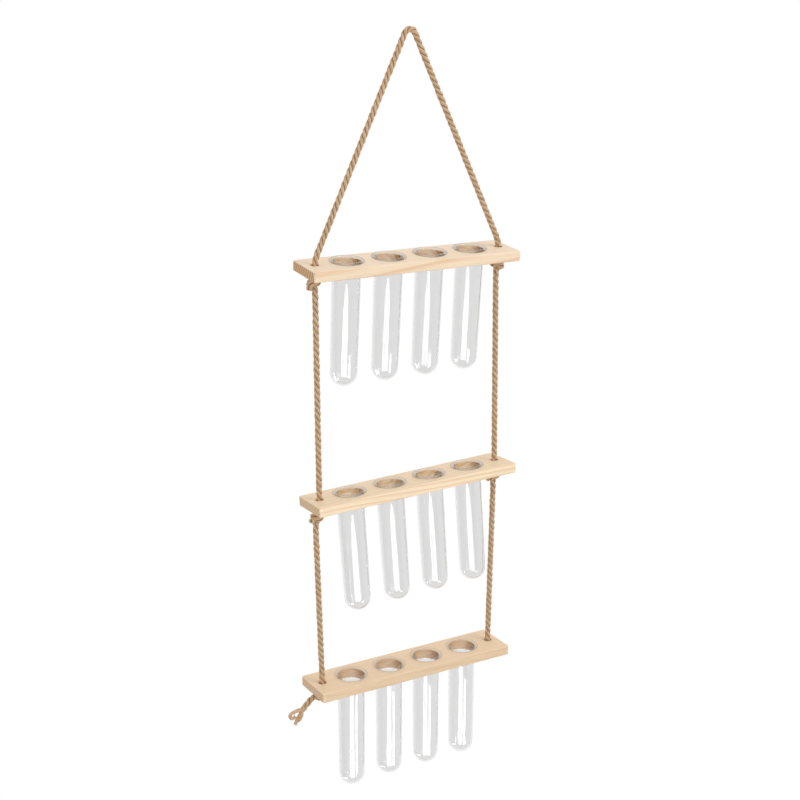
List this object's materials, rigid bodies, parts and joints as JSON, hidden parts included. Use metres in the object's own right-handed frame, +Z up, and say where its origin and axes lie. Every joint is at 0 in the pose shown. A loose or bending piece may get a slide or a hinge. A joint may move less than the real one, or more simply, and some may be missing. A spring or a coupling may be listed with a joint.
{
  "type": "test tube vase",
  "caption": "Hanging vase: wooden boards one under another on a knotted jute rope, each holding glass test tubes in a row for single stems.",
  "frame": {"origin": "the point where the inside of the rope's bend sits on the hook that holds the vase up", "axes": "+X along the boards to the viewer's right, -Y to the viewer at the front, +Z up"},
  "size_m": [0.2233, 0.0504, 0.6883],
  "materials": {
    "pine": "planed and sanded, unvarnished",
    "glass": "clear and smooth",
    "jute": "three-strand laid rope, slightly hairy"
  },
  "bodies": {
    "hook_bend": {"hanger_bend": "jute"},
    "hanger": {"left_hanger_leg": "jute", "right_hanger_leg": "jute"},
    "top_shelf": {"top_board": "pine"},
    "top_knots": {"top_left_knot": "jute", "top_right_knot": "jute"},
    "upper_left_rope": {"upper_left_rope": "jute"},
    "upper_right_rope": {"upper_right_rope": "jute"},
    "middle_carriers": {"middle_left_hole_rope": "jute", "middle_right_hole_rope": "jute"},
    "middle_shelf": {"middle_board": "pine"},
    "middle_knots": {"middle_left_knot": "jute", "middle_right_knot": "jute"},
    "lower_left_rope": {"lower_left_rope": "jute"},
    "lower_right_rope": {"lower_right_rope": "jute"},
    "bottom_carriers": {"bottom_left_hole_rope": "jute", "bottom_right_hole_rope": "jute", "bottom_left_knot": "jute", "bottom_right_knot": "jute", "rope_tail": "jute"},
    "bottom_shelf": {"bottom_board": "pine"},
    "top_tube_1": {"top_tube_1": "glass"},
    "top_tube_2": {"top_tube_2": "glass"},
    "top_tube_3": {"top_tube_3": "glass"},
    "top_tube_4": {"top_tube_4": "glass"},
    "middle_tube_1": {"middle_tube_1": "glass"},
    "middle_tube_2": {"middle_tube_2": "glass"},
    "middle_tube_3": {"middle_tube_3": "glass"},
    "middle_tube_4": {"middle_tube_4": "glass"},
    "bottom_tube_1": {"bottom_tube_1": "glass"},
    "bottom_tube_2": {"bottom_tube_2": "glass"},
    "bottom_tube_3": {"bottom_tube_3": "glass"},
    "bottom_tube_4": {"bottom_tube_4": "glass"}
  },
  "joints": [
    {"name": "hanger_swing", "type": "hinge", "parent": "hook_bend", "child": "hanger", "pos_m": [0, 0, -0.00553], "axis": [1, 0, 0], "range_deg": [-15, 15]},
    {"name": "top_board_rock", "type": "hinge", "parent": "hanger", "child": "top_shelf", "pos_m": [-0.00006, 0.00025, -0.19049], "axis": [0.9999, 0.0008, -0.0139], "range_deg": [-7, 7]},
    {"name": "upper_swing", "type": "hinge", "parent": "hanger", "child": "top_knots", "pos_m": [-0.00022, 0.00087, -0.20157], "axis": [0.9999, 0.0008, -0.0139], "range_deg": [-10, 10]},
    {"name": "upper_sway", "type": "hinge", "parent": "top_knots", "child": "upper_left_rope", "pos_m": [-0.08981, 0.0008, -0.20033], "axis": [0, 1, 0], "range_deg": [-6, 6]},
    {"name": "upper_right_sway", "type": "hinge", "parent": "top_knots", "child": "upper_right_rope", "pos_m": [0.08937, 0.00094, -0.20282], "axis": [0, 1, 0], "range_deg": [-6, 6]},
    {"name": "middle_board_sway", "type": "hinge", "parent": "upper_left_rope", "child": "middle_carriers", "pos_m": [-0.08916, -0.00022, -0.39381], "axis": [0, 1, 0], "range_deg": [-6, 6]},
    {"name": "middle_board_rock", "type": "hinge", "parent": "middle_carriers", "child": "middle_shelf", "pos_m": [0.00054, -0.00034, -0.39548], "axis": [0.9995, 0.0024, 0.0313], "range_deg": [-7, 7]},
    {"name": "lower_swing", "type": "hinge", "parent": "middle_carriers", "child": "middle_knots", "pos_m": [0.00089, -0.0012, -0.40655], "axis": [0.9995, 0.0024, 0.0313], "range_deg": [-10, 10]},
    {"name": "lower_sway", "type": "hinge", "parent": "middle_knots", "child": "lower_left_rope", "pos_m": [-0.08867, -0.00141, -0.40935], "axis": [0, 1, 0], "range_deg": [-6, 6]},
    {"name": "lower_right_sway", "type": "hinge", "parent": "middle_knots", "child": "lower_right_rope", "pos_m": [0.09045, -0.00098, -0.40374], "axis": [0, 1, 0], "range_deg": [-6, 6]},
    {"name": "bottom_board_sway", "type": "hinge", "parent": "lower_left_rope", "child": "bottom_carriers", "pos_m": [-0.09073, -0.00309, -0.57051], "axis": [0, 1, 0], "range_deg": [-6, 6]},
    {"name": "bottom_board_rock", "type": "hinge", "parent": "bottom_carriers", "child": "bottom_shelf", "pos_m": [-0.00127, -0.00013, -0.5765], "axis": [0.9993, 0.0344, -0.0167], "range_deg": [-7, 7]},
    {"name": "top_tube_1_lift", "type": "slide", "parent": "top_shelf", "child": "top_tube_1", "axis": [0.014, -0.0558, 0.9983], "range_m": [0, 0.02]},
    {"name": "top_tube_2_lift", "type": "slide", "parent": "top_shelf", "child": "top_tube_2", "axis": [0.014, -0.0558, 0.9983], "range_m": [0, 0.105]},
    {"name": "top_tube_3_lift", "type": "slide", "parent": "top_shelf", "child": "top_tube_3", "axis": [0.014, -0.0558, 0.9983], "range_m": [0, 0.105]},
    {"name": "top_tube_4_lift", "type": "slide", "parent": "top_shelf", "child": "top_tube_4", "axis": [0.014, -0.0558, 0.9983], "range_m": [0, 0.02]},
    {"name": "middle_tube_1_lift", "type": "slide", "parent": "middle_shelf", "child": "middle_tube_1", "axis": [-0.0314, 0.0767, 0.9966], "range_m": [0, 0.065]},
    {"name": "middle_tube_2_lift", "type": "slide", "parent": "middle_shelf", "child": "middle_tube_2", "axis": [-0.0314, 0.0767, 0.9966], "range_m": [0, 0.065]},
    {"name": "middle_tube_3_lift", "type": "slide", "parent": "middle_shelf", "child": "middle_tube_3", "axis": [-0.0314, 0.0767, 0.9966], "range_m": [0, 0.065]},
    {"name": "middle_tube_4_lift", "type": "slide", "parent": "middle_shelf", "child": "middle_tube_4", "axis": [-0.0314, 0.0767, 0.9966], "range_m": [0, 0.065]},
    {"name": "bottom_tube_1_lift", "type": "slide", "parent": "bottom_shelf", "child": "bottom_tube_1", "axis": [0.0157, 0.0279, 0.9995], "range_m": [0, 0.05]},
    {"name": "bottom_tube_2_lift", "type": "slide", "parent": "bottom_shelf", "child": "bottom_tube_2", "axis": [0.0157, 0.0279, 0.9995], "range_m": [0, 0.05]},
    {"name": "bottom_tube_3_lift", "type": "slide", "parent": "bottom_shelf", "child": "bottom_tube_3", "axis": [0.0157, 0.0279, 0.9995], "range_m": [0, 0.05]},
    {"name": "bottom_tube_4_lift", "type": "slide", "parent": "bottom_shelf", "child": "bottom_tube_4", "axis": [0.0157, 0.0279, 0.9995], "range_m": [0, 0.05]}
  ],
  "couplings": [
    {"joint": "upper_right_sway", "follows": "upper_sway", "ratio": 1},
    {"joint": "middle_board_sway", "follows": "upper_sway", "ratio": -1},
    {"joint": "lower_right_sway", "follows": "lower_sway", "ratio": 1},
    {"joint": "bottom_board_sway", "follows": "lower_sway", "ratio": -1}
  ]
}
